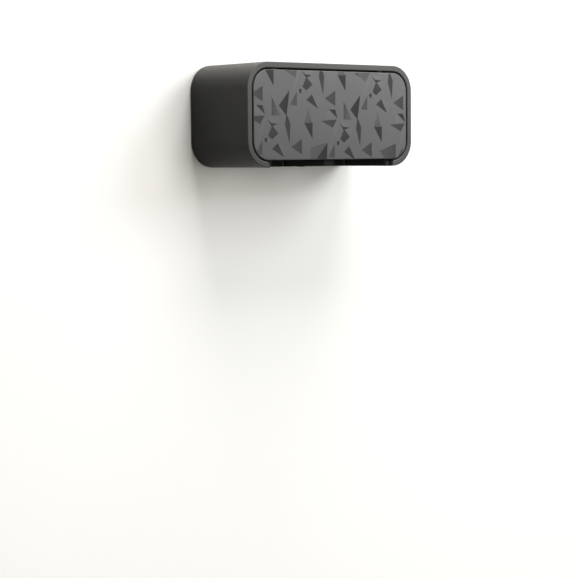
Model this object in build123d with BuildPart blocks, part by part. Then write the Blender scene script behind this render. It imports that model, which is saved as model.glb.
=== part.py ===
"""Wall-mounted toothbrush holder: a rounded box whose faceted front cover swings up.

The frame: +X right, -Y out from the wall, +Z up, millimetres. The origin is the centre of the wall face.
Depths are written as distances out from the wall, so a depth d lies at y = -d.
"""
import os

from build123d import *

# The box
width = 112.9
height = 54.0
front = 49.5
back_edge = 0.5
corner_radius = 13.5
wall = 2.4
rim_width = 3.0
rim_depth = 3.0
outer_edge_radius = 0.5
rim_edge_radius = 0.5

# The notch in the lower rim, and the floor opening that the brush rest fills
notch_half_width = 42.5
notch_corner_radius = 2.0
floor_half_width = 40.5
floor_back = 7.8
floor_cut_spare = 0.5

# The front cover, its edge rounding and the steel wire that it swings on
cover_gap = 0.9
panel_thickness = 2.0
panel_edge_radius = 0.5
facet_depth = 0.25
axis_from_front = 1.1
axis_from_top = 1.1
wire_diameter = 0.6
wire_bore = 0.7
wire_half_length = 37.8
bead_radius = 1.0
bead_half_length = 39.3

# The blocks that hold the ends of the wire, and the blind pockets behind the panel that they reach into
block_centre = 36.5
block_width = 3.0
block_nose_radius = 0.55
block_pocket_width = 3.6
block_pocket_drop = 1.0
block_pocket_skin = 0.35
tenon_front = 46.0
tenon_back = 41.0
tenon_rise = 0.8

# The carrier behind the panel, and the panel's screw bosses
carrier_inset = 3.0
carrier_top_drop = 3.45
carrier_depth = 3.5
carrier_floor = 1.5
carrier_wall = 1.5
carrier_rib_x = 17.0
carrier_rib_width = 1.2
boss_spacing_x = 34.0
boss_spacing_z = 28.0
boss_diameter = 4.5
boss_bite = 0.7

# Magnets, their strike plates and the soft bumpers
magnet_x = 44.5
magnet_z = -14.0
magnet_diameter = 8.0
magnet_thickness = 3.0
strike_diameter = 9.0
strike_thickness = 0.5
magnet_air_gap = 0.3
pod_depth = 5.0
pod_inner = 39.5
pod_bottom = -19.5
pod_top = -1.0
bumper_z = -5.0
bumper_diameter = 5.0
bumper_thickness = 0.75
bumper_rounding = 0.4

# The brush rest, a comb with two funnel mouths
rest_bottom = -26.5
rest_step = -24.5
rest_top = -23.5
rest_half_width = 42.3
rest_body_half_width = 40.3
rest_front = 46.0
rest_back = 8.0
seat_x = 21.3
seat_depth = 25.0
seat_radius = 5.0
throat_depth = 29.5
mouth_half_width = 18.0
mouth_rounding = 2.0
throat_rounding = 4.0
mouth_overrun = 5.0
liner_wall = 1.5
liner_leg = 4.0
liner_fit = 0.02
liner_rounding = 0.6
rib_x = 38.9
rib_depth = 22.8
rib_width = 2.8
rib_length = 3.0
rib_drop = 0.5

# The rails that the brush rest slides under
rail_inner = 40.9
rail_foot = 42.6
rail_outer = 46.6
rail_lip_bottom = -23.35
rail_top = -22.0
rail_front = 45.0
rail_back = 9.0
rail_screw_x = 44.6
rail_screw_depths = (14.0, 40.0)
rail_screw_bite = 1.6

# The back cover with its hook windows
back_cover_near = 3.8
back_cover_thickness = 2.0
back_cover_gap = 0.2
back_screw_x = 50.5
back_screw_z = 16.0
back_screw_bite = 6.0
back_boss_length = 10.0
back_boss_diameter = 7.0

# The small pan-head screws
screw_diameter = 1.56
pilot_diameter = 1.6
pilot_spare = 1.0
screw_hole_diameter = 2.0
screw_head_diameter = 3.4
screw_head_height = 1.1
screw_slot_width = 0.6
screw_slot_length = 2.6
screw_slot_depth = 0.5

# The wall plate, its hooks and its pads
plate_width = 84.0
plate_height = 34.0
plate_thickness = 3.5
plate_corner = 4.0
plate_chamfer = 0.6
hook_x = 32.0
hook_width = 8.0
hook_seat = 8.0
hook_stem = 3.0
hook_tip_rise = 4.0
hook_tip_thickness = 2.0
hook_root = 1.0
hook_tip_chamfer = 0.7
hook_heel_chamfer = 1.2
hook_clearance = 0.25
hook_seat_clearance = 0.02
window_width = 8.8
window_height = 8.6
wall_hole_spacing = 40.0
wall_hole_diameter = 4.4
wall_countersink_diameter = 8.6
pad_width = 14.0
pad_height = 28.0
pad_thickness = 1.0
pad_corner = 2.0

# The faceted pattern: the motifs of one tile, as corners (x, z) about the panel's centre, the two steps by
# which the tile repeats over the panel, and four wide facets at the top and bottom edges that stand alone
tile_across = (48.5, -1.8)
tile_down = (-22.9, -25.2)
motifs = {
    "tall_triangle": [(-45.0, 22.7), (-39.4, 23.0), (-39.6, 14.7)],
    "left_pointer": [(-54.0, 10.5), (-46.7, 14.7), (-46.7, 6.6)],
    "small_wedge": [(-51.0, 4.9), (-46.8, 4.8), (-45.3, 0.2)],
    "flat_wedge": [(-56.5, -1.2), (-45.7, -0.4), (-48.5, -4.7)],
    "soft_triangle": [(-41.0, 9.0), (-41.0, -0.3), (-35.2, -0.6)],
    "upper_kite": [(-29.3, 12.6), (-36.3, 4.8), (-31.3, -0.4), (-30.0, 7.0)],
    "lower_kite": [(-31.3, 0.7), (-32.3, -5.2), (-29.4, -14.6), (-28.7, -4.5)],
    "upright_triangle": [(-24.3, 12.0), (-28.8, 5.2), (-24.3, 4.7)],
    "arrow": [(-20.7, 22.9), (-18.5, 20.9), (-14.2, 20.7), (-16.2, 19.8), (-18.2, 19.3)],
    "kite": [(-17.9, 19.8), (-20.5, 14.5), (-17.9, 12.7), (-13.8, 15.7)],
    "chip": [(-23.1, 12.7), (-22.2, 13.6), (-21.0, 13.4), (-21.4, 10.9), (-22.4, 11.5)],
    "long_triangle": [(-14.3, 10.7), (-18.0, 7.8), (-10.0, 3.3)],
}
lone_facets = [
    [(-33.6, 23.5), (-24.0, 23.5), (-25.1, 19.1)],
    [(14.6, 23.5), (26.8, 23.5), (23.3, 17.8)],
    [(-15.6, -17.0), (-4.6, -14.4), (-6.0, -24.0), (-15.2, -24.0)],
    [(32.9, -19.0), (44.8, -14.9), (44.8, -24.0), (38.0, -24.0)],
]

# Worked out from the dimensions above
inside_top = height / 2 - wall
inside_bottom = -inside_top
panel_inset = rim_width + cover_gap
panel_half_width = width / 2 - panel_inset
panel_half_height = height / 2 - panel_inset
panel_corner = corner_radius - panel_inset
panel_back = front - panel_thickness
axis_depth = front - axis_from_front
axis_height = panel_half_height - axis_from_top
carrier_back = panel_back - carrier_depth
carrier_top = panel_half_height - carrier_top_drop
carrier_bottom = -panel_half_height + carrier_inset
pod_front = carrier_back - strike_thickness - magnet_air_gap
back_cover_far = back_cover_near + back_cover_thickness
hook_tip_near = back_cover_far + hook_clearance
window_top = hook_seat + hook_seat_clearance
hook_tip_far = hook_tip_near + hook_tip_thickness
hook_top = hook_seat + hook_tip_rise
hook_bottom = hook_seat - hook_stem
tenon_middle = (tenon_front + tenon_back) / 2
rest_middle = (rest_front + rest_back) / 2

os.makedirs("parts", exist_ok=True)


def finish(piece, name):
    """Label a finished piece and write it under its name."""
    piece.part.label = name
    export_step(piece.part, f"parts/{name}.step")


def upright(depth):
    """The plane parallel to the wall at a depth; an extrusion from it grows away from the wall."""
    return Plane.XZ.offset(depth)


def box_outline(inset, mode=Mode.ADD):
    """The box's outline drawn in by an inset, with corners that stay parallel to it."""
    RectangleRounded(width - 2 * inset, height - 2 * inset, corner_radius - inset, mode=mode)


def screws(seats, toward, length):
    """One pan-head screw at each seat: heads stand out of the seats, shanks go the other way."""
    with BuildPart() as group:
        for seat in seats:
            plane = Plane(origin=seat, z_dir=toward)
            with BuildSketch(plane):
                Circle(screw_head_diameter / 2)
            extrude(amount=screw_head_height)
            with BuildSketch(plane):
                Circle(screw_diameter / 2)
            extrude(amount=-length)
            with BuildSketch(plane.offset(screw_head_height)):
                Rectangle(screw_slot_length, screw_slot_width)
            extrude(amount=-screw_slot_depth, mode=Mode.SUBTRACT)
    return group


# Wall plate: screwed or taped to the wall, with two hooks that rise from its front
with BuildPart() as wall_plate:
    with BuildSketch(upright(0)):
        RectangleRounded(plate_width, plate_height, plate_corner)
    extrude(amount=plate_thickness)
    chamfer(wall_plate.edges().group_by(Axis.Y)[0], plate_chamfer)
    with BuildSketch(upright(0)):
        with Locations((-hook_x, 0), (hook_x, 0)):
            RectangleRounded(pad_width, pad_height, pad_corner)
    extrude(amount=pad_thickness, mode=Mode.SUBTRACT)
    with Locations(upright(plate_thickness)):
        with GridLocations(wall_hole_spacing, 1, 2, 1):
            CounterSinkHole(wall_hole_diameter / 2, wall_countersink_diameter / 2)
    for side in (-1, 1):
        with BuildSketch(Plane.YZ.offset(side * hook_x)):
            with BuildLine():
                Polyline(
                    (hook_root - plate_thickness, hook_seat),
                    (-hook_tip_near, hook_seat),
                    (-hook_tip_near, hook_top - hook_tip_chamfer),
                    (-hook_tip_near - hook_tip_chamfer, hook_top),
                    (-hook_tip_far, hook_top),
                    (-hook_tip_far, hook_bottom + hook_heel_chamfer),
                    (hook_heel_chamfer - hook_tip_far, hook_bottom),
                    (hook_root - plate_thickness, hook_bottom),
                    close=True,
                )
            make_face()
        extrude(amount=hook_width / 2, both=True)
finish(wall_plate, "wall_plate")

# Adhesive pads: foam tape, flush with the back of the plate
with BuildPart() as adhesive_pads:
    with BuildSketch(upright(0)):
        with Locations((-hook_x, 0), (hook_x, 0)):
            RectangleRounded(pad_width, pad_height, pad_corner)
    extrude(amount=pad_thickness)
finish(adhesive_pads, "adhesive_pads")

# Housing: one moulded shell with the rim, the notch, the magnet pods and the screw bosses
with BuildPart() as housing:
    with BuildSketch(upright(back_edge)):
        box_outline(0)
    extrude(amount=front - back_edge)
    fillet(housing.edges().group_by(Axis.Y)[0], outer_edge_radius)
    with BuildSketch(upright(back_edge)):
        box_outline(wall)
    extrude(amount=front - rim_depth - back_edge, mode=Mode.SUBTRACT)
    with BuildSketch(upright(front - rim_depth)):
        box_outline(rim_width)
    extrude(amount=rim_depth, mode=Mode.SUBTRACT)
    fillet(housing.edges(Select.LAST).group_by(Axis.Y)[0], rim_edge_radius)

    # Bosses for the back screws, webbed to the side walls
    with BuildSketch(upright(back_cover_far)):
        for side in (-1, 1):
            for row in (-1, 1):
                with Locations((side * back_screw_x, row * back_screw_z)):
                    Circle(back_boss_diameter / 2)
                with Locations((side * (back_screw_x + back_boss_diameter / 2), row * back_screw_z)):
                    Rectangle(back_boss_diameter, back_boss_diameter)
        box_outline(wall / 2, Mode.INTERSECT)
    extrude(amount=back_boss_length)
    with BuildSketch(upright(back_cover_far)):
        with GridLocations(2 * back_screw_x, 2 * back_screw_z, 2, 2):
            Circle(pilot_diameter / 2)
    extrude(amount=back_screw_bite + pilot_spare, mode=Mode.SUBTRACT)

    # Magnet pods on the side walls, with their pockets
    with BuildSketch(upright(pod_front - pod_depth)):
        for side in (-1, 1):
            with Locations((side * (pod_inner + width / 2) / 2, (pod_bottom + pod_top) / 2)):
                Rectangle(width / 2 - pod_inner, pod_top - pod_bottom)
        box_outline(wall / 2, Mode.INTERSECT)
    extrude(amount=pod_depth)
    with BuildSketch(upright(pod_front)):
        with Locations((-magnet_x, magnet_z), (magnet_x, magnet_z)):
            Circle(magnet_diameter / 2)
    extrude(amount=-magnet_thickness, mode=Mode.SUBTRACT)

    # Sockets in the top wall for the tenons of the wire blocks
    with BuildSketch(Plane.XY.offset(inside_top)):
        with Locations((-block_centre, -tenon_middle), (block_centre, -tenon_middle)):
            Rectangle(block_width, tenon_front - tenon_back)
    extrude(amount=tenon_rise, mode=Mode.SUBTRACT)

    # The notch in the lower rim, and the floor opening behind it
    with BuildSketch(Plane.XY.offset(-height / 2)):
        with Locations((0, -front + rim_depth / 2)):
            Rectangle(2 * notch_half_width, rim_depth)
        with Locations((0, -(front + floor_back) / 2)):
            Rectangle(2 * floor_half_width, front - floor_back)
    extrude(amount=rim_width + floor_cut_spare, mode=Mode.SUBTRACT)
    with BuildSketch(upright(front - rim_depth)):
        for side in (-1, 1):
            corner_x = side * (notch_half_width + notch_corner_radius)
            corner_z = -height / 2 + rim_width - notch_corner_radius
            with Locations((corner_x - side * notch_corner_radius / 2, corner_z + notch_corner_radius / 2)):
                Rectangle(notch_corner_radius, notch_corner_radius)
            with Locations((corner_x, corner_z)):
                Circle(notch_corner_radius, mode=Mode.SUBTRACT)
    extrude(amount=rim_depth, mode=Mode.SUBTRACT)

    # Pilot holes in the floor for the rail screws
    with BuildSketch(Plane.XY.offset(rail_top)):
        for screw_depth in rail_screw_depths:
            with Locations((-rail_screw_x, -screw_depth), (rail_screw_x, -screw_depth)):
                Circle(pilot_diameter / 2)
    extrude(amount=inside_bottom - rail_screw_bite - rail_top, mode=Mode.SUBTRACT)
finish(housing, "housing")

# Back cover: closes the shell and hangs on the hooks by its two windows
with BuildPart() as back_cover:
    with BuildSketch(upright(back_cover_near)):
        box_outline(wall + back_cover_gap)
        with Locations((-hook_x, window_top - window_height / 2), (hook_x, window_top - window_height / 2)):
            Rectangle(window_width, window_height, mode=Mode.SUBTRACT)
        with GridLocations(2 * back_screw_x, 2 * back_screw_z, 2, 2):
            Circle(screw_hole_diameter / 2, mode=Mode.SUBTRACT)
    extrude(amount=back_cover_thickness)
finish(back_cover, "back_cover")

# Back screws: driven from the wall side into the bosses
back_screw_seats = [
    (x, -back_cover_near, z) for x in (-back_screw_x, back_screw_x) for z in (-back_screw_z, back_screw_z)
]
back_screws = screws(back_screw_seats, (0, 1, 0), back_cover_thickness + back_screw_bite)
finish(back_screws, "back_screws")

# Brush rest: a comb with two funnel mouths that narrow to the neck seats, and three short ribs below
with BuildPart() as brush_rest:
    with BuildSketch(Plane.XY.offset(rest_bottom)):
        with Locations((0, -rest_middle)):
            Rectangle(2 * rest_body_half_width, rest_front - rest_back)
    extrude(amount=rest_step - rest_bottom)
    with BuildSketch(Plane.XY.offset(rest_step)):
        with Locations((0, -rest_middle)):
            Rectangle(2 * rest_half_width, rest_front - rest_back)
    extrude(amount=rest_top - rest_step)
    for centre_x in (-seat_x, seat_x):
        with BuildSketch(Plane.XY.offset(rest_bottom)):
            with Locations((centre_x, -seat_depth)):
                Circle(seat_radius)
            with BuildLine():
                FilletPolyline(
                    (centre_x - seat_radius, -seat_depth),
                    (centre_x - seat_radius, -throat_depth),
                    (centre_x - mouth_half_width, -rest_front),
                    (centre_x - mouth_half_width, -rest_front - mouth_overrun),
                    (centre_x + mouth_half_width, -rest_front - mouth_overrun),
                    (centre_x + mouth_half_width, -rest_front),
                    (centre_x + seat_radius, -throat_depth),
                    (centre_x + seat_radius, -seat_depth),
                    radius=(throat_rounding, *4 * (mouth_rounding,), throat_rounding),
                )
                Line((centre_x + seat_radius, -seat_depth), (centre_x - seat_radius, -seat_depth))
            make_face()
        extrude(amount=rest_top - rest_bottom, mode=Mode.SUBTRACT)
    with BuildSketch(Plane.XY.offset(rest_bottom)):
        with Locations((-rib_x, -rib_depth), (0, -rib_depth), (rib_x, -rib_depth)):
            Rectangle(rib_width, rib_length)
    extrude(amount=-rib_drop)
finish(brush_rest, "brush_rest")

# Neck liners: soft U-shaped inserts in the two seats, open towards the front
for side_name, centre_x in (("left", -seat_x), ("right", seat_x)):
    with BuildPart() as neck_liner:
        with BuildSketch(Plane.XY.offset(rest_bottom)):
            with Locations((centre_x, -seat_depth)):
                Circle(seat_radius - liner_fit)
            with Locations((centre_x, -seat_depth - liner_leg / 2)):
                Rectangle(2 * (seat_radius - liner_fit), liner_leg)
            with Locations((centre_x, -seat_depth)):
                Circle(seat_radius - liner_wall, mode=Mode.SUBTRACT)
            with Locations((centre_x, -seat_depth - liner_leg)):
                Rectangle(2 * (seat_radius - liner_wall), 2 * liner_leg, mode=Mode.SUBTRACT)
        extrude(amount=rest_top - rest_bottom)
        fillet(neck_liner.edges().filter_by(Axis.Z).group_by(Axis.Y)[0], liner_rounding)
    finish(neck_liner, f"neck_liner_{side_name}")

# Rest rails: L-shaped strips on the floor that the flanges of the brush rest slide under
for side_name, side in (("left", -1), ("right", 1)):
    with BuildPart() as rest_rail:
        with BuildSketch(upright(rail_back)):
            with Locations((side * (rail_inner + rail_outer) / 2, (inside_bottom + rail_top) / 2)):
                Rectangle(rail_outer - rail_inner, rail_top - inside_bottom)
            with Locations((side * (rail_inner + rail_foot) / 2, (inside_bottom + rail_lip_bottom) / 2)):
                Rectangle(rail_foot - rail_inner, rail_lip_bottom - inside_bottom, mode=Mode.SUBTRACT)
            box_outline(wall, Mode.INTERSECT)
        extrude(amount=rail_front - rail_back)
        with BuildSketch(Plane.XY.offset(rail_top)):
            with Locations(*[(side * rail_screw_x, -screw_depth) for screw_depth in rail_screw_depths]):
                Circle(screw_hole_diameter / 2)
        extrude(amount=-height / 2, mode=Mode.SUBTRACT)
    finish(rest_rail, f"rest_rail_{side_name}")

# Rail screws: two in each rail, driven down into the floor
rail_screw_seats = [
    (x, -screw_depth, rail_top) for x in (-rail_screw_x, rail_screw_x) for screw_depth in rail_screw_depths
]
rail_screws = screws(rail_screw_seats, (0, 0, 1), rail_top - inside_bottom + rail_screw_bite)
finish(rail_screws, "rail_screws")

# Wire blocks: each hangs from the top wall by a tenon and carries one end of the wire in its round nose
for side_name, side in (("left", -1), ("right", 1)):
    with BuildPart() as wire_block:
        arm_bottom = axis_height - block_nose_radius
        with BuildSketch(Plane.YZ.offset(side * block_centre)):
            with Locations((-axis_depth, axis_height)):
                Circle(block_nose_radius)
            with Locations((-(axis_depth + tenon_back) / 2, axis_height)):
                Rectangle(axis_depth - tenon_back, 2 * block_nose_radius)
            with Locations((-tenon_middle, (arm_bottom + inside_top + tenon_rise) / 2)):
                Rectangle(tenon_front - tenon_back, inside_top + tenon_rise - arm_bottom)
            with Locations((-axis_depth, axis_height)):
                Circle(wire_diameter / 2, mode=Mode.SUBTRACT)
        extrude(amount=block_width / 2, both=True)
    finish(wire_block, f"wire_block_{side_name}")

# Hinge wire: a straight steel wire along the top edge of the cover
with BuildPart() as hinge_wire:
    with BuildSketch(Plane.YZ):
        with Locations((-axis_depth, axis_height)):
            Circle(wire_diameter / 2)
    extrude(amount=wire_half_length, both=True)
finish(hinge_wire, "hinge_wire")

# Magnets: pressed into the pods behind the lower corners of the cover
for side_name, side in (("left", -1), ("right", 1)):
    with BuildPart() as magnet:
        with BuildSketch(upright(pod_front - magnet_thickness)):
            with Locations((side * magnet_x, magnet_z)):
                Circle(magnet_diameter / 2)
        extrude(amount=magnet_thickness)
    finish(magnet, f"magnet_{side_name}")

# Cover panel: the faceted front plate, with rounded edges, the bead and bore for the wire, the two blind
# pockets for the wire blocks, and six bosses behind
with BuildPart() as cover_panel:
    with BuildSketch(upright(panel_back)):
        box_outline(panel_inset)
    extrude(amount=panel_thickness)
    fillet(cover_panel.edges().filter_by(Axis.Y, reverse=True), panel_edge_radius)
    with BuildSketch(upright(panel_back - carrier_depth + carrier_floor)):
        with GridLocations(boss_spacing_x, boss_spacing_z, 3, 2):
            Circle(boss_diameter / 2)
    extrude(amount=carrier_depth - carrier_floor)
    with BuildSketch(upright(carrier_back + carrier_floor)):
        with GridLocations(boss_spacing_x, boss_spacing_z, 3, 2):
            Circle(pilot_diameter / 2)
    extrude(amount=carrier_depth - carrier_floor + boss_bite, mode=Mode.SUBTRACT)
    with BuildSketch(Plane.YZ):
        with Locations((-axis_depth, axis_height)):
            Circle(bead_radius)
    extrude(amount=bead_half_length, both=True)
    with BuildSketch(Plane.YZ):
        with Locations((-axis_depth, axis_height)):
            Circle(wire_bore / 2)
    extrude(amount=block_centre, both=True, mode=Mode.SUBTRACT)
    with BuildSketch(upright(front - block_pocket_skin)):
        with Locations((-block_centre, panel_half_height), (block_centre, panel_half_height)):
            Rectangle(block_pocket_width, 2 * (axis_from_top + block_pocket_drop))
    extrude(amount=-panel_thickness, mode=Mode.SUBTRACT)
    with BuildSketch(upright(front)):
        for corners in motifs.values():
            for across in range(-1, 4):
                for down in range(-1, 3):
                    shift_x = across * tile_across[0] + down * tile_down[0]
                    shift_z = across * tile_across[1] + down * tile_down[1]
                    placed = [(x + shift_x, z + shift_z) for x, z in corners]
                    if any(abs(x) < panel_half_width and abs(z) < panel_half_height for x, z in placed):
                        Polygon(*placed, align=None)
        for corners in lone_facets:
            Polygon(*corners, align=None)
        box_outline(panel_inset + panel_edge_radius / 2, Mode.INTERSECT)
    extrude(amount=-facet_depth, mode=Mode.SUBTRACT)
finish(cover_panel, "cover_panel")

# Cover carrier: a shallow stiff tray screwed to the bosses behind the panel
with BuildPart() as cover_carrier:
    carrier_middle = (carrier_top + carrier_bottom) / 2
    carrier_width = 2 * (panel_half_width - carrier_inset)
    carrier_height = carrier_top - carrier_bottom
    carrier_corner = panel_corner - carrier_inset
    with BuildSketch(upright(carrier_back)):
        with Locations((0, carrier_middle)):
            RectangleRounded(carrier_width, carrier_height, carrier_corner)
    extrude(amount=carrier_depth)
    with BuildSketch(upright(carrier_back + carrier_floor)):
        with Locations((0, carrier_middle)):
            RectangleRounded(
                carrier_width - 2 * carrier_wall,
                carrier_height - 2 * carrier_wall,
                carrier_corner - carrier_wall,
            )
    extrude(amount=carrier_depth - carrier_floor, mode=Mode.SUBTRACT)
    with BuildSketch(upright(carrier_back)):
        with Locations((-carrier_rib_x, carrier_middle), (carrier_rib_x, carrier_middle)):
            Rectangle(carrier_rib_width, carrier_height - carrier_wall)
    extrude(amount=carrier_depth)
    with BuildSketch(upright(carrier_back)):
        with GridLocations(boss_spacing_x, boss_spacing_z, 3, 2):
            Circle(screw_hole_diameter / 2)
    extrude(amount=carrier_floor, mode=Mode.SUBTRACT)
finish(cover_carrier, "cover_carrier")

# Carrier screws: six, driven from behind through the tray into the bosses
carrier_screw_seats = [
    (column * boss_spacing_x, -carrier_back, row * boss_spacing_z / 2)
    for column in (-1, 0, 1)
    for row in (-1, 1)
]
carrier_screws = screws(carrier_screw_seats, (0, 1, 0), carrier_depth + boss_bite / 2)
finish(carrier_screws, "carrier_screws")

# Strike plates: thin steel discs on the tray, facing the magnets
for side_name, side in (("left", -1), ("right", 1)):
    with BuildPart() as strike_plate:
        with BuildSketch(upright(carrier_back - strike_thickness)):
            with Locations((side * magnet_x, magnet_z)):
                Circle(strike_diameter / 2)
        extrude(amount=strike_thickness)
    finish(strike_plate, f"strike_plate_{side_name}")

# Cover bumpers: soft dots on the tray that meet the pods when the cover shuts
with BuildPart() as cover_bumpers:
    with BuildSketch(upright(carrier_back - bumper_thickness)):
        with Locations((-magnet_x, bumper_z), (magnet_x, bumper_z)):
            Circle(bumper_diameter / 2)
    extrude(amount=bumper_thickness)
    fillet(cover_bumpers.edges().group_by(Axis.Y)[-1], bumper_rounding)
finish(cover_bumpers, "cover_bumpers")
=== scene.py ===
"""A dark wall-mounted toothbrush holder with a faceted front cover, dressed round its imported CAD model.

Everything is in metres, +X right along the wall, -Y out from the wall, +Z up, with the wall's face at y = 0.
Only the front of the cover is worked out in millimetres, and turned to metres as its mesh is made.
"""
import math

import bmesh
import bpy
import numpy as np
from mathutils import Matrix, Vector
from mathutils.geometry import delaunay_2d_cdt


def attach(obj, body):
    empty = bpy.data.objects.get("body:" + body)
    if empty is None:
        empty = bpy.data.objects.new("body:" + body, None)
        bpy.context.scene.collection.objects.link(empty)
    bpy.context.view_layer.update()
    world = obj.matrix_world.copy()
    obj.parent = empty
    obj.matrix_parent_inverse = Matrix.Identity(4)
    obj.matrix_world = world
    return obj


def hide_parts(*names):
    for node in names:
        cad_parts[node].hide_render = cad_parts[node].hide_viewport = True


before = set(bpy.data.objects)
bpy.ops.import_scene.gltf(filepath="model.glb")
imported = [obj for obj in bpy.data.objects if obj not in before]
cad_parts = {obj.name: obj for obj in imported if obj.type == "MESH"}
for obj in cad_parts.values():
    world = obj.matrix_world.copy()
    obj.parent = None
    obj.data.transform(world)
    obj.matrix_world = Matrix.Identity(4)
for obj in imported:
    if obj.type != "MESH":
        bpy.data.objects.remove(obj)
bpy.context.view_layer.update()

# Camera: it stands to the left of the holder and a little below its middle, and looks slightly down, as in
# the photograph, with the holder in the upper half of the picture.
camera_place = Vector((-0.58043, -0.73095, -0.01907))
camera_yaw, camera_pitch, camera_roll = map(math.radians, (38.902, -4.6245, -0.4635))
camera_lens = 105.45
camera_film = 36.0
ahead = Vector((
    math.sin(camera_yaw) * math.cos(camera_pitch),
    math.cos(camera_yaw) * math.cos(camera_pitch),
    math.sin(camera_pitch),
))
level = Vector((math.cos(camera_yaw), -math.sin(camera_yaw), 0.0))
upward = level.cross(ahead)
rightward = math.cos(camera_roll) * level + math.sin(camera_roll) * upward
topward = -math.sin(camera_roll) * level + math.cos(camera_roll) * upward
camera = bpy.data.objects.new("camera", bpy.data.cameras.new("camera"))
camera.data.sensor_width = camera_film
camera.data.lens = camera_lens
camera_turn = Matrix((rightward, topward, -ahead)).transposed().to_4x4()
camera.matrix_world = Matrix.Translation(camera_place) @ camera_turn
bpy.context.collection.objects.link(camera)
bpy.context.scene.camera = camera
bpy.context.scene.view_settings.view_transform = "Standard"

# Wall and floor: a smooth white painted wall that carries the holder, and a plain pale floor far below. As
# stage, they throw less light on it than they show, and glow faintly, as in a room with darker things about.
# From behind, the wall lets sight and light through, so that the holder's back shows.
wall_gap = 0.0002
wall_top = 3.0
floor_level = -1.1
stage_reach = 4.0
wall_paint = (0.92, 0.92, 0.913, 1.0)
wall_paint_thrown = (0.09, 0.08, 0.065, 1.0)
wall_glow = (0.062, 0.056, 0.048, 1.0)
floor_paint = (0.8, 0.8, 0.79, 1.0)
floor_paint_thrown = (0.3, 0.3, 0.3, 1.0)
floor_glow = (0.62, 0.62, 0.61, 1.0)


def place(tree, kind, wires=None, **settings):
    """Put a node in a tree; wires gives each named input a number, a colour or another node's output."""
    made = tree.nodes.new(kind)
    for name, value in settings.items():
        setattr(made, name, value)
    for name, value in (wires or {}).items():
        if isinstance(value, bpy.types.NodeSocket):
            tree.links.new(value, made.inputs[name])
        else:
            made.inputs[name].default_value = value
    return made


def sums(tree, operation, first, second=0.0):
    """The output of one arithmetic node on two values."""
    return place(tree, "ShaderNodeMath", {0: first, 1: second}, operation=operation).outputs[0]


def blend_colour(tree, share, first, second):
    """The output of a colour mix, first at share 0 and second at share 1."""
    return place(tree, "ShaderNodeMix", {"Factor": share, 6: first, 7: second}, data_type="RGBA").outputs[2]


def bare_tree(owner):
    """The emptied node tree of a new material or world."""
    owner.use_nodes = True
    owner.node_tree.nodes.clear()
    return owner.node_tree


def stage_sheet(name, paint, corners):
    """A flat painted stage sheet from its four corners."""
    mesh = bpy.data.meshes.new(name)
    mesh.from_pydata(corners, [], [(0, 1, 2, 3)])
    mesh.materials.append(paint)
    sheet = bpy.data.objects.new(name, mesh)
    bpy.context.collection.objects.link(sheet)


def seen_directly(tree):
    """1 where a surface is seen by the camera, in a reflection or through glass, else 0; and the node of the
    light's path."""
    ray = place(tree, "ShaderNodeLightPath")
    seen = sums(tree, "MAXIMUM", ray.outputs["Is Camera Ray"], ray.outputs["Is Glossy Ray"])
    return sums(tree, "MAXIMUM", seen, ray.outputs["Is Transmission Ray"]), ray


def matt_paint(tree, seen, shown, thrown, glow):
    """The output of a matt paint: its shown colour and faint glow where it is seen, else the colour of the
    light that it throws."""
    lit = place(tree, "ShaderNodeBsdfDiffuse", {"Color": blend_colour(tree, seen, thrown, shown)})
    glowing = place(tree, "ShaderNodeEmission", {"Color": glow, "Strength": seen})
    return place(tree, "ShaderNodeAddShader", {0: lit.outputs[0], 1: glowing.outputs[0]}).outputs[0]


paint = bpy.data.materials.new("wall_paint")
tree = bare_tree(paint)
seen, ray = seen_directly(tree)
front_look = matt_paint(tree, seen, wall_paint, wall_paint_thrown, wall_glow)
behind = place(tree, "ShaderNodeNewGeometry").outputs["Backfacing"]
passed_through = sums(tree, "GREATER_THAN", ray.outputs["Transparent Depth"], 0.5)
clear = place(tree, "ShaderNodeBsdfTransparent").outputs[0]
look = place(tree, "ShaderNodeMixShader", {
    "Fac": sums(tree, "MAXIMUM", behind, passed_through), 1: front_look, 2: clear})
place(tree, "ShaderNodeOutputMaterial", {"Surface": look.outputs[0]})
stage_sheet("room_wall", paint, [
    (-stage_reach, wall_gap, floor_level), (stage_reach, wall_gap, floor_level),
    (stage_reach, wall_gap, wall_top), (-stage_reach, wall_gap, wall_top)])

paint = bpy.data.materials.new("floor_paint")
tree = bare_tree(paint)
seen, _ = seen_directly(tree)
look = matt_paint(tree, seen, floor_paint, floor_paint_thrown, floor_glow)
place(tree, "ShaderNodeOutputMaterial", {"Surface": look})
stage_sheet("room_floor", paint, [
    (-stage_reach, -stage_reach, floor_level), (stage_reach, -stage_reach, floor_level),
    (stage_reach, stage_reach, floor_level), (-stage_reach, stage_reach, floor_level)])

# Studio light: three square soft lamps, overhead, on the right and in front, and a dim warm room light. A
# fourth lamp stands behind the wall, where it reaches the holder only in views through the wall.
lamp_width = 0.8
lamp_aim = Vector((0.0, -0.025, 0.0))
room_light = (1.0, 0.96, 0.8, 1.0)
room_strength = 0.2
white_room = (1.0, 1.0, 1.0, 1.0)

room = bpy.data.worlds.new("room")
bpy.context.scene.world = room
tree = bare_tree(room)
seen, _ = seen_directly(tree)
dim = place(tree, "ShaderNodeBackground", {"Color": room_light, "Strength": room_strength})
white = place(tree, "ShaderNodeBackground", {"Color": white_room, "Strength": 1.0})
look = place(tree, "ShaderNodeMixShader", {"Fac": seen, 1: dim.outputs[0], 2: white.outputs[0]})
place(tree, "ShaderNodeOutputWorld", {"Surface": look.outputs[0]})


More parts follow.
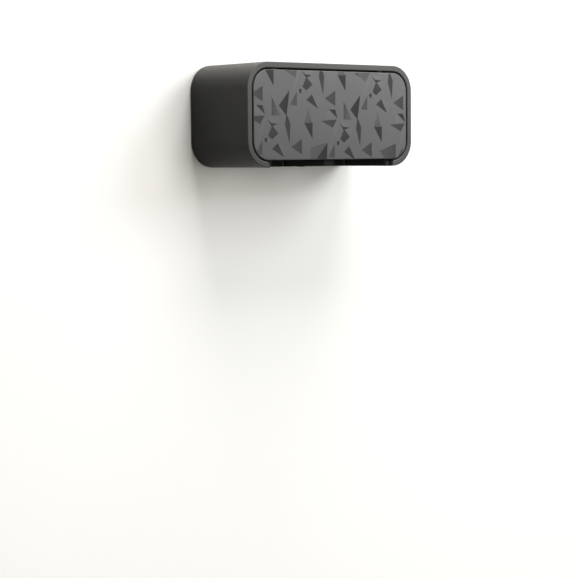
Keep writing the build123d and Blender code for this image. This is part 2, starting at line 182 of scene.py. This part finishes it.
def soft_lamp(name, stand, watts, colour):
    """A square lamp that stands at a point and faces the holder."""
    lamp = bpy.data.objects.new(name, bpy.data.lights.new(name, "AREA"))
    lamp.data.size = lamp_width
    lamp.data.energy = watts
    lamp.data.color = colour
    lamp.location = stand
    lamp.rotation_euler = (lamp_aim - Vector(stand)).to_track_quat("-Z", "Y").to_euler()
    bpy.context.collection.objects.link(lamp)


soft_lamp("lamp_top", (0.05, -0.45, 1.2), 20.0, (1.0, 0.98, 0.96))
soft_lamp("lamp_right", (1.05, -1.05, 0.75), 15.5, (0.93, 0.98, 1.0))
soft_lamp("lamp_front", (0.33, -1.47, 0.2), 9.8, (1.0, 0.98, 0.95))
soft_lamp("lamp_behind", (0.7, 1.3, 0.7), 22.0, (1.0, 1.0, 1.0))

# Wall plate: a moulded plate with two hooks, screwed or taped to the wall. Like every hidden plastic piece it
# is black with the fine spark-eroded grain of its mould.
dust_and_highlight_colour = (0.34, 0.33, 0.31, 1.0)
dust_roughness = 0.4
gloss_swing = 0.06
grain_height = 0.00004
clouds_per_metre = 90.0
dust_patches_per_metre = 420.0
shade_direction = (0.25, -1.0, 1.0)


def effect(name, inputs, outputs):
    """A new node group with number inputs and outputs, and its two end nodes."""
    group = bpy.data.node_groups.new(name, "ShaderNodeTree")
    for label, value in inputs.items():
        group.interface.new_socket(label, in_out="INPUT", socket_type="NodeSocketFloat").default_value = value
    for label in outputs:
        group.interface.new_socket(label, in_out="OUTPUT", socket_type="NodeSocketFloat")
    return group, place(group, "NodeGroupInput"), place(group, "NodeGroupOutput")


# shared effect: the grain of the mould, and soft clouds of tone over the whole piece
mould_grain, given, result = effect("mould_grain", {"Grain per metre": 5200.0}, ("Height", "Cloud"))
where = place(mould_grain, "ShaderNodeTexCoord").outputs["Object"]
fine = place(mould_grain, "ShaderNodeTexNoise", {
    "Vector": where, "Scale": given.outputs["Grain per metre"], "Detail": 3.0, "Roughness": 0.6})
cloud = place(mould_grain, "ShaderNodeTexNoise", {
    "Vector": where, "Scale": clouds_per_metre, "Detail": 4.0, "Roughness": 0.55})
mould_grain.links.new(fine.outputs["Fac"], result.inputs["Height"])
mould_grain.links.new(cloud.outputs["Fac"], result.inputs["Cloud"])

# shared effect: dust that settles, a little patchily, on faces that look up; where it is heavy it is also a
# painted highlight on them
dust_and_top_highlight, given, result = effect("dust_and_top_highlight", {"Amount": 0.3}, ("Mask",))
normal = place(dust_and_top_highlight, "ShaderNodeNewGeometry").outputs["Normal"]
facing_up = place(dust_and_top_highlight, "ShaderNodeSeparateXYZ", {0: normal}).outputs["Z"]
upward_share = place(dust_and_top_highlight, "ShaderNodeMapRange", {
    "Value": facing_up, "From Min": 0.35, "From Max": 0.95})
where = place(dust_and_top_highlight, "ShaderNodeTexCoord").outputs["Object"]
patches = place(dust_and_top_highlight, "ShaderNodeTexNoise", {
    "Vector": where, "Scale": dust_patches_per_metre, "Detail": 6.0})
patchy = place(dust_and_top_highlight, "ShaderNodeMapRange", {
    "Value": patches.outputs["Fac"], "From Min": 0.4, "From Max": 0.75, "To Min": 0.7})
dusty = sums(dust_and_top_highlight, "MULTIPLY", upward_share.outputs[0], patchy.outputs[0])
dust_and_top_highlight.links.new(sums(dust_and_top_highlight, "MULTIPLY", dusty, given.outputs["Amount"]), result.inputs["Mask"])

# shared effect: a colour that deepens towards the lower left back, as the light on the holder falls off in
# the photograph
falling_shade, given, result = effect("falling_shade", {"Least share": 0.5}, ("Share",))
where = place(falling_shade, "ShaderNodeTexCoord").outputs["Object"]
along = place(falling_shade, "ShaderNodeVectorMath", {0: where, 1: shade_direction}, operation="DOT_PRODUCT")
fall = place(falling_shade, "ShaderNodeMapRange", {
    "Value": along.outputs["Value"], "From Min": -0.013, "From Max": 0.08,
    "To Min": given.outputs["Least share"], "To Max": 1.0})
falling_shade.links.new(fall.outputs[0], result.inputs["Share"])


def use_effect(tree, group, **numbers):
    """Place a shared effect in a material's tree with its own numbers."""
    made = place(tree, "ShaderNodeGroup", node_tree=group)
    for label, value in numbers.items():
        made.inputs[label.replace("_", " ")].default_value = value
    return made


def skinned(name, **plain):
    """A new material, its tree and its Principled skin with some inputs set to plain numbers."""
    made = bpy.data.materials.new(name)
    made.use_nodes = True
    skin = made.node_tree.nodes["Principled BSDF"]
    for label, value in plain.items():
        skin.inputs[label.replace("_", " ")].default_value = value
    return made, made.node_tree, skin


def shade(tree, colour, share):
    """A colour output multiplied by a share."""
    return place(tree, "ShaderNodeVectorMath", {0: colour, 1: share}, operation="MULTIPLY").outputs[0]


def raise_relief(tree, skin, height, strength, distance):
    """Let a height pattern tilt the skin's normals."""
    relief = place(tree, "ShaderNodeBump", {"Height": height, "Strength": strength, "Distance": distance})
    tree.links.new(relief.outputs["Normal"], skin.inputs["Normal"])


def moulded(name, base, pale, roughness, grain, bump, dust, shine, least_share=1.0):
    """A moulded plastic: clouded between two close colours, grained, dusted from above, where heavy dust is
    also a painted highlight, darkened as painted shade towards the lower left back by least_share, uneven in
    gloss.
    """
    made, tree, skin = skinned(name, Specular_IOR_Level=shine)
    texture = use_effect(tree, mould_grain, Grain_per_metre=grain)
    # painted shade: a least_share below 1 deepens the colour towards the lower left back, as the light falls
    # off
    fall = use_effect(tree, falling_shade, Least_share=least_share)
    # dust on faces that look up; where it is heavy it is also a painted highlight
    dust_and_highlight_mask = use_effect(tree, dust_and_top_highlight, Amount=dust).outputs["Mask"]
    colour = blend_colour(tree, texture.outputs["Cloud"], (*base, 1.0), (*pale, 1.0))
    colour = shade(tree, colour, fall.outputs["Share"])
    tree.links.new(blend_colour(tree, dust_and_highlight_mask, colour, dust_and_highlight_colour), skin.inputs["Base Color"])
    gloss = place(tree, "ShaderNodeMapRange", {
        "Value": texture.outputs["Cloud"],
        "To Min": roughness - gloss_swing, "To Max": roughness + gloss_swing})
    rough = sums(tree, "ADD", gloss.outputs[0], sums(tree, "MULTIPLY", dust_and_highlight_mask, dust_roughness))
    tree.links.new(rough, skin.inputs["Roughness"])
    raise_relief(tree, skin, texture.outputs["Height"], bump, grain_height)
    return made


def dress(material, *names):
    """Give CAD nodes a finished material in place of their plain one."""
    for name in names:
        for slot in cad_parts[name].material_slots:
            slot.material = material


# painted shade: this black is darker than plain black plastic, so that the pieces inside show as the deep
# shade of the holder's open bottom
black = moulded(
    "black_plastic", base=(0.006, 0.006, 0.006), pale=(0.009, 0.009, 0.009), roughness=0.5,
    grain=6500.0, bump=0.25, dust=0.015, shine=0.08)
dress(black, "wall_plate")

# Adhesive pads: pale closed-cell foam tape, cut with rounded corners and set flush in the back of the plate.
# Its cells are coarser than a mould's grain.
foam = moulded(
    "foam_tape", base=(0.6, 0.6, 0.57), pale=(0.7, 0.7, 0.67), roughness=0.9,
    grain=2600.0, bump=0.6, dust=0.1, shine=0.2)
dress(foam, "adhesive_pads")

# Housing: the rounded shell with its rim and magnet pods, one charcoal moulding with a fine matte texture.
# The two blocks pressed into the rim, which hold the hinge wire, are the same plastic.
# its heavy dust is partly real dust and partly a painted highlight on its top faces
# the charcoal carries painted shade, its colour deepening towards the lower left back
charcoal = moulded(
    "charcoal_plastic", base=(0.091, 0.091, 0.091), pale=(0.102, 0.102, 0.102), roughness=0.55,
    grain=5200.0, bump=0.35, dust=0.36, shine=0.17, least_share=0.25)
dress(charcoal, "housing", "wire_block_left", "wire_block_right")

# Back cover: a black moulded plate that closes the shell, with windows for the wall plate's hooks. It is held
# by small zinc-plated steel pan-head screws with one slot, faintly speckled by their plating.
metal_low_tone = 0.82
metal_smoother, metal_rougher = 0.08, 0.1
scratch_height = 0.00002


def metal(name, colour, roughness, grain, stretch, bump):
    """A bare metal with a stretched scratch grain; stretch scales the pattern along x, y and z."""
    made, tree, skin = skinned(name, Metallic=1.0)
    where = place(tree, "ShaderNodeTexCoord").outputs["Object"]
    where = place(tree, "ShaderNodeMapping", {0: where, "Scale": stretch}).outputs[0]
    scratch = place(tree, "ShaderNodeTexNoise", {
        "Vector": where, "Scale": grain, "Detail": 5.0}).outputs["Fac"]
    low = tuple(metal_low_tone * part for part in colour)
    tree.links.new(blend_colour(tree, scratch, (*low, 1.0), (*colour, 1.0)), skin.inputs["Base Color"])
    gloss = place(tree, "ShaderNodeMapRange", {
        "Value": scratch, "To Min": roughness - metal_smoother, "To Max": roughness + metal_rougher})
    tree.links.new(gloss.outputs[0], skin.inputs["Roughness"])
    raise_relief(tree, skin, scratch, bump, scratch_height)
    return made


even = (1.0, 1.0, 1.0)
screw_steel = metal(
    "screw_steel", colour=(0.58, 0.57, 0.55), roughness=0.34, grain=2400.0, stretch=even, bump=0.3)
dress(black, "back_cover")
dress(screw_steel, "back_screws")

# Rest rails: two black moulded rails that the brush rest slides on, each screwed inside the shell by two of
# the same small screws.
dress(black, "rest_rail_left", "rest_rail_right")
dress(screw_steel, "rail_screws")

# Brush rest: a black moulded comb that fills the open bottom, with two funnels that narrow to round seats. It
# is pushed in along the rails.
dress(black, "brush_rest")

# Neck liners: two U-shaped bands of dark silicone rubber, pressed into the seats of the brush rest.
# Rubber has a dull skin that holds dust.
rubber = moulded(
    "soft_liner", base=(0.022, 0.022, 0.023), pale=(0.03, 0.03, 0.031), roughness=0.72,
    grain=3800.0, bump=0.2, dust=0.1, shine=0.15)
dress(rubber, "neck_liner_left", "neck_liner_right")

# Hinge wire: drawn stainless steel, scratched along its length, whose ends sit in the two blocks of the rim.
# The cover swings on it.
lengthways = (0.04, 1.0, 1.0)
wire_steel = metal(
    "wire_steel", colour=(0.64, 0.64, 0.65), roughness=0.25, grain=5000.0, stretch=lengthways, bump=0.3)
dress(wire_steel, "hinge_wire")

# Magnets: two nickel-plated discs, pressed into the pods in the lower corners of the shell. They hold the
# cover shut.
magnet_nickel = metal(
    "magnet_nickel", colour=(0.56, 0.55, 0.52), roughness=0.16, grain=900.0, stretch=even, bump=0.1)
dress(magnet_nickel, "magnet_left", "magnet_right")

# Cover tray: a stiff black moulding behind the panel, joined to it by six small screws. Two rolled stainless
# discs on its back meet the magnets, and two soft rubber dots meet the shell.
dress(black, "cover_carrier")
dress(screw_steel, "carrier_screws")
dress(wire_steel, "strike_plate_left", "strike_plate_right")
dress(rubber, "cover_bumpers")

# Cover panel: a satin grey moulded plate with rounded edges, whose front is cut into shallow sloping facets.
# It stands for its CAD node: all that lies behind the facets is taken from that node, and the new front is
# joined to it. Lengths are in millimetres here, apart from those marked as metres.
millimetre = 0.001
front_face = 49.5
cut_depth = 0.3
half_width, half_height, corner = 52.55, 23.1, 9.6
edge_round = 0.5
facet_limit = 0.25
edge_rings = (0.1, 0.17, facet_limit, 0.35, edge_round, edge_round + 0.06)
shallow, deep = 0.02, 0.16
flush_tone = 0.7
least_area = 3.0
least_step = 1e-3
least_drop = 1e-4
least_edge = 1e-4
crease = math.radians(22)
tile_across = np.array((48.5, -1.8))
tile_down = np.array((-22.9, -25.2))
tile_columns, tile_rows = range(-1, 4), range(-1, 3)
panel_low = (0.129, 0.13, 0.132, 1.0)
panel_high = (0.147, 0.148, 0.15, 1.0)

# in metres: how near points count as one, how near the cut a point counts as on it, the widest seam that is
# closed, and the narrowest face that is kept
same_point = 1e-7
cut_slack = 1e-6
seam_width = 2e-6
sliver = 1e-6

# each facet: its tone where the fade starts and ends, the fade's direction in degrees, and its corners about
# the panel's centre; a tone is a share of the panel's own grey, and facets that start at flush_tone or paler
# have no depth
# the tones and fades are partly the pattern's own, partly painted shade on the darker facets and painted
# highlight on the paler ones
tile_facets = [
    (1.12, 1.06, 0, [(-52.5, 4.4), (-46.4, 0.4), (-52.5, 0.1)]),
    (1.12, 1.08, 0, [(-20.3, 23.0), (-18.3, 21.1), (-14.0, 21.0), (-13.9, 23.4)]),
    (1.09, 1.05, 270, [(-23.9, 23.2), (-21.3, 23.2), (-24.4, 15.6), (-28.2, 8.2)]),
    (1.07, 1.03, 0, [(-13.8, 11.4), (-6.6, 8.7), (-9.8, 3.3)]),
    (1.08, 1.06, 0, [(-17.2, 19.6), (-11.1, 19.8), (-13.5, 16.6)]),
    (0.6, 0.95, 90, [(-42.8, 30.5), (-45.0, 22.9), (-39.9, 22.9)]),
    (0.42, 0.8, 0, [(-41.0, 9.0), (-41.0, -0.3), (-35.2, -0.6)]),
    (0.42, 0.5, 270, [(-24.3, 12.0), (-28.8, 5.2), (-24.3, 4.7)]),
    (0.34, 0.45, 180, [(-54.0, 10.5), (-46.7, 14.7), (-46.7, 6.6)]),
    (0.3, 0.4, 180, [(-56.5, -1.2), (-45.7, -0.4), (-48.5, -4.7)]),
    (0.2, 0.29, 180, [(-14.3, 10.7), (-18.0, 7.8), (-10.0, 3.3)]),
    (0.24, 0.31, 270, [(-31.3, 0.7), (-32.3, -5.2), (-29.4, -14.6), (-28.7, -4.5)]),
    (0.23, 0.32, 90, [(-17.9, 19.8), (-20.5, 14.5), (-17.9, 12.7), (-13.8, 15.7)]),
    (0.14, 0.2, 0, [(-51.0, 4.9), (-46.8, 4.8), (-45.3, 0.2)]),
    (0.14, 0.2, 90, [(-45.0, 22.7), (-39.4, 23.0), (-39.6, 14.7)]),
    (0.15, 0.27, 0, [(-20.7, 22.9), (-18.5, 20.9), (-14.2, 20.7), (-16.2, 19.8), (-18.2, 19.3)]),
    (0.16, 0.2, 0, [(-23.1, 12.7), (-22.2, 13.6), (-21.0, 13.4), (-21.4, 10.9), (-22.4, 11.5)]),
    (0.14, 0.2, 180, [(-29.3, 12.6), (-36.3, 4.8), (-31.3, -0.4), (-30.0, 7.0)]),
]
lone_facets = [
    (1.1, 1.06, 0, [(-53.0, 14.6), (-45.4, 23.5), (-53.0, 23.5)]),
    (1.05, 1.03, 270, [(-5.2, 22.8), (3.4, 22.9), (2.2, 13.4), (-2.5, 12.2)]),
    (0.64, 0.58, 0, [(-33.6, 23.5), (-24.0, 23.5), (-25.1, 19.1)]),
    (0.74, 0.6, 0, [(14.6, 23.5), (26.8, 23.5), (23.3, 17.8)]),
    (0.78, 0.62, 0, [(-15.6, -17.0), (-4.6, -14.4), (-6.0, -24.0), (-15.2, -24.0)]),
    (0.14, 0.2, 180, [(-3.7, -14.4), (-10.7, -22.2), (-11.5, -24.0), (-4.3, -24.0)]),
    (0.4, 0.62, 180, [(32.9, -19.0), (44.8, -14.9), (44.8, -24.0), (38.0, -24.0)]),
]


def outline_inset(points):
    """How far points lie inside the panel's rounded outline: the corner radius less the distance from the
    rounded corner's centre, or the nearer straight edge."""
    over = np.abs(points) - (np.array((half_width, half_height)) - corner)
    return corner - np.hypot(*np.maximum(over, 0).T) - np.minimum(over.max(1), 0)


def outline_ring(inset, steps=20):
    """The panel's outline drawn in by an inset: four quarter circles of steps points each, anticlockwise."""
    quarter = np.linspace(0, math.pi / 2, steps)
    angles = np.concatenate([quarter + turn * math.pi / 2 for turn in range(4)])
    signs = np.repeat([(1, 1), (-1, 1), (-1, -1), (1, -1)], steps, axis=0)
    centres = signs * (np.array((half_width, half_height)) - corner)
    return centres + (corner - inset) * np.stack((np.cos(angles), np.sin(angles)), 1)


def clipped(polygon, window):
    """The part of a polygon inside a convex anticlockwise window, cut by one window edge after another."""
    kept = [np.array(point, float) for point in polygon]
    for start, end in zip(window, np.roll(window, -1, axis=0)):
        inward = np.array((start[1] - end[1], end[0] - start[0]))
        sides = [float(inward @ (point - start)) for point in kept]
        after = []
        for here, there, side, next_side in zip(kept, kept[1:] + kept[:1], sides, sides[1:] + sides[:1]):
            if side >= 0:
                after.append(here)
            if side * next_side < 0:
                after.append(here + (there - here) * side / (side - next_side))
        kept = after
    return kept


def turning(polygon):
    """Twice a polygon's signed area, positive where it runs anticlockwise."""
    onward = np.roll(polygon, -1, axis=0)
    return np.sum(polygon[:, 0] * onward[:, 1] - polygon[:, 1] * onward[:, 0])


# the rest of the node behind a plane just below the facets, and the open loop where it is cut
cover_mesh = bmesh.new()
cover_mesh.from_mesh(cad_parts["cover_panel"].data)
bmesh.ops.remove_doubles(cover_mesh, verts=cover_mesh.verts, dist=same_point)
cut_at = (cut_depth - front_face) * millimetre
bmesh.ops.bisect_plane(
    cover_mesh, geom=cover_mesh.verts[:] + cover_mesh.edges[:] + cover_mesh.faces[:], dist=same_point,
    plane_co=(0, cut_at, 0), plane_no=(0, -1, 0), clear_outer=True)
rim_edges = [edge for edge in cover_mesh.edges
             if edge.is_boundary and all(end.co.y < cut_at + cut_slack for end in edge.verts)]
follow = {}
for edge in rim_edges:
    first, second = edge.verts
    follow.setdefault(first, []).append(second)
    follow.setdefault(second, []).append(first)
loop = [rim_edges[0].verts[0]]
while True:
    onward = [vertex for vertex in follow[loop[-1]] if vertex not in loop[-2:]]
    if not onward or (len(loop) > 2 and onward[0] is loop[0]):
        break
    loop.append(onward[0])
outer = np.array([(vertex.co.x, vertex.co.z) for vertex in loop]) / millimetre
if turning(outer) < 0:
    outer = outer[::-1]
cover_mesh.verts.index_update()
back_points = np.array([vertex.co for vertex in cover_mesh.verts])
back_faces = [[vertex.index for vertex in face.verts] for face in cover_mesh.faces]
cover_mesh.free()

# every facet that falls on the panel, less the stray ends at its edge; a facet covers those before it, so
# the palest of the repeated ones come first
steps = [across * tile_across + down * tile_down for across in tile_columns for down in tile_rows]
placed = [(*facet[:3], np.array(facet[3]) + step) for facet in tile_facets for step in steps]
placed.sort(key=lambda facet: -facet[0] - facet[1])
placed += [(*facet[:3], np.array(facet[3])) for facet in lone_facets]
window = outline_ring(facet_limit)
drawn = [(facet, np.array(clipped(facet[3], window))) for facet in placed]
drawn = [(facet, inside) for facet, inside in drawn
         if len(inside) > 2 and abs(turning(inside)) > 2 * least_area]

# the plan of the front as triangles, from the cut loop, the rings of the rounded edge and the facets
points, edges, polygons = outer.tolist(), [], [list(range(len(outer)))]
for inset in edge_rings:
    ring = outline_ring(inset)
    edges += [(len(points) + i, len(points) + (i + 1) % len(ring)) for i in range(len(ring))]
    points += ring.tolist()
for _, inside in drawn:
    inside = inside if turning(inside) > 0 else inside[::-1]
    polygons.append(list(range(len(points), len(points) + len(inside))))
    points += inside.tolist()
plan, _, triangles, sources, _, origins = delaunay_2d_cdt(
    [Vector(point) for point in points], edges, polygons, 1, least_edge, True)
plan = np.array([tuple(point) for point in plan])
on_cut = np.array([any(source < len(outer) for source in found) for found in sources])
keep = [i for i, origin in enumerate(origins) if 0 in origin]
triangles = np.array([triangles[i] for i in keep])
group = np.array([max(origins[i]) for i in keep])

# a node is one place of the plan as one facet meets it; the panel's edge is rounded by a quarter circle, and
# each facet's floor slopes from deep at its left to shallow at its right
sunk = np.clip(edge_round - outline_inset(plan), 0, edge_round)
rounding = np.where(on_cut, cut_depth, edge_round - np.sqrt(edge_round**2 - sunk**2))
count = len(polygons)
pairs, corner_index = np.unique(triangles * count + group[:, None], return_inverse=True)
corner_index = corner_index.reshape(-1, 3)
owner, piece = pairs // count, pairs % count
depth = rounding[owner].copy()
tone = np.ones(len(pairs))
for number, ((start_tone, end_tone, fade, corners), _) in enumerate(drawn, 1):
    mine = piece == number
    here = plan[owner[mine]]
    if start_tone < flush_tone:
        slope = np.clip((here[:, 0] - corners[:, 0].min()) / np.ptp(corners[:, 0]), 0, 1)
        depth[mine] = np.maximum(depth[mine], deep + (shallow - deep) * slope)
    direction = np.array((math.cos(math.radians(fade)), math.sin(math.radians(fade))))
    reach = corners @ direction
    faded = np.clip((here @ direction - reach.min()) / np.ptp(reach), 0, 1)
    tone[mine] = start_tone + (end_tone - start_tone) * faded
front_points = np.stack((plan[owner, 0], depth - front_face, plan[owner, 1]), 1) * millimetre

# where the triangles on the two sides of an edge lie at different depths, a wall drops from one to the
# other; it is as dark as the darker of them, its painted shade included
sides = np.concatenate([
    np.stack((triangles[:, i], triangles[:, j], corner_index[:, i], corner_index[:, j]), 1)
    for i, j in ((0, 1), (1, 2), (2, 0))])
key = np.minimum(sides[:, 0], sides[:, 1]) * len(plan) + np.maximum(sides[:, 0], sides[:, 1])
order = np.argsort(key, kind="stable")
twins = np.flatnonzero(key[order][1:] == key[order][:-1])
one, other = sides[order[twins]], sides[order[twins + 1]]
differ = (np.abs(depth[one[:, 2:]] - depth[other[:, [3, 2]]]) > least_drop).any(1)
one, other = one[differ, 2:], other[differ, 2:]


def between(first, second):
    """The nodes of one place of the plan that stand between two of its nodes, in order from the first."""
    low, high = sorted((depth[first], depth[second]))
    stack = range(*np.searchsorted(owner, (owner[first], owner[first] + 1)))
    inside = [node for node in stack if low + least_step < depth[node] < high - least_step]
    return sorted(inside, key=lambda node: depth[node], reverse=depth[first] > depth[second])


walls = [
    [one_end, one_start, *between(one_start, other_end),
     other_end, other_start, *between(other_start, one_end)]
    for (one_start, one_end), (other_start, other_end) in zip(one, other)]
wall_tones = tone[np.hstack((one, other))].min(1)

shift = len(back_points)
panel_mesh = bpy.data.meshes.new("cover_front")
panel_mesh.from_pydata(
    np.concatenate((back_points, front_points)).tolist(), [],
    back_faces + (corner_index + shift).tolist() + [[node + shift for node in wall] for wall in walls])
corners_of = np.zeros(len(panel_mesh.loops), int)
panel_mesh.loops.foreach_get("vertex_index", corners_of)
values = np.concatenate((np.ones(shift), tone))[corners_of]
before_walls = sum(len(face) for face in back_faces) + corner_index.size
values[before_walls:] = np.repeat(wall_tones, [len(wall) for wall in walls])
panel_mesh.attributes.new("tone", "FLOAT", "CORNER").data.foreach_set("value", values.astype(np.float32))
joined = bmesh.new()
joined.from_mesh(panel_mesh)
bmesh.ops.remove_doubles(joined, verts=joined.verts, dist=seam_width)
bmesh.ops.dissolve_degenerate(joined, dist=sliver, edges=joined.edges)
joined.to_mesh(panel_mesh)
joined.free()
panel_mesh.shade_smooth()
panel_mesh.set_sharp_from_angle(angle=crease)
cover_front = bpy.data.objects.new("cover_front", panel_mesh)
bpy.context.collection.objects.link(cover_front)

# the grey is clouded like the other plastics, times the facets' tones, which are partly painted shade and
# painted highlight; dark facets are glossier
satin, tree, skin = skinned("panel_grey", Specular_IOR_Level=0.15)
texture = use_effect(tree, mould_grain, Grain_per_metre=4200.0)
# painted shade: the panel's grey deepens towards the lower left back
fall = use_effect(tree, falling_shade, Least_share=0.36)
facet = place(tree, "ShaderNodeAttribute", attribute_name="tone").outputs["Fac"]
ground = blend_colour(tree, texture.outputs["Cloud"], panel_low, panel_high)
tree.links.new(shade(tree, shade(tree, ground, fall.outputs["Share"]), facet), skin.inputs["Base Color"])
gloss = place(tree, "ShaderNodeMapRange", {
    "Value": facet, "From Min": 0.3, "From Max": 1.0, "To Min": 0.36, "To Max": 0.5})
tree.links.new(gloss.outputs[0], skin.inputs["Roughness"])
raise_relief(tree, skin, texture.outputs["Height"], strength=0.3, distance=grain_height)
panel_mesh.materials.append(satin)
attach(cover_front, "cover")
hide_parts("cover_panel")
